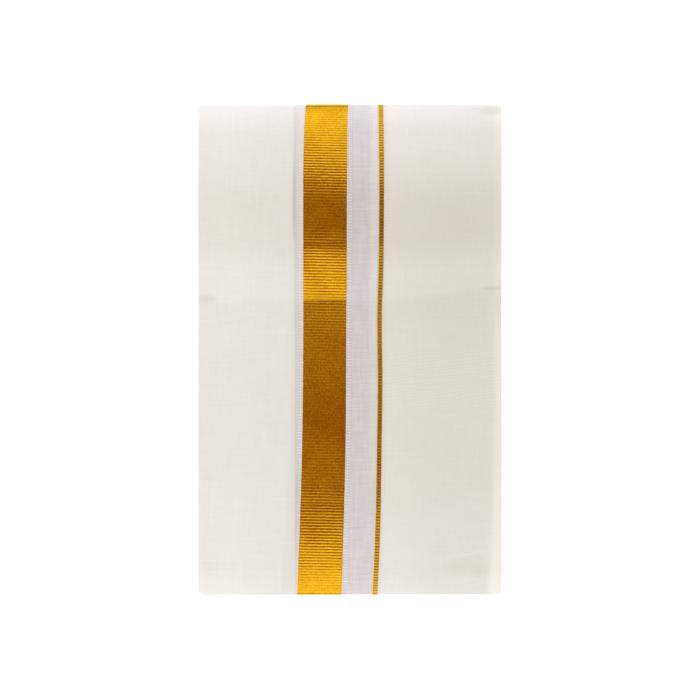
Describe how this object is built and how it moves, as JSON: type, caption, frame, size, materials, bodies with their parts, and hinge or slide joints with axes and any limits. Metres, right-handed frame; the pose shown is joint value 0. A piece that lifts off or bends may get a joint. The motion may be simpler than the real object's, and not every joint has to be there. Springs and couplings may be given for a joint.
{
  "type": "angavastram",
  "caption": "Flat folded length of handloom cotton with a ribbed gold zari band, a thin gold line and a sheer stripe along its top leaf.",
  "frame": {"origin": "below the middle of the folded packet, on the surface that it lies on", "axes": "+Y along the packet's long side and its border, towards the far fold; +X to the right seen from above with +Y up; +Z up out of the top leaf"},
  "size_m": [0.232, 0.3768, 0.0121],
  "materials": {
    "handloom_cotton": "fine plain-weave handloom cotton, unbleached cream with a sheer whiter stripe and a white selvedge, matte",
    "under_cotton": "fine plain-weave handloom cotton, unbleached cream, matte",
    "folded_cotton": "folded edges of fine unbleached cotton, matte",
    "zari_gold": "metallic gold zari thread woven in fine crosswise ribs",
    "zari_gold_line": "metallic gold zari thread woven as a thin line"
  },
  "bodies": {
    "root": {"top_leaf": "handloom_cotton", "under_leaf": "under_cotton", "folded_layers": "folded_cotton", "zari_band": "zari_gold", "zari_line": "zari_gold_line", "zari_band_lower": "zari_gold", "zari_line_lower": "zari_gold_line"}
  },
  "joints": []
}
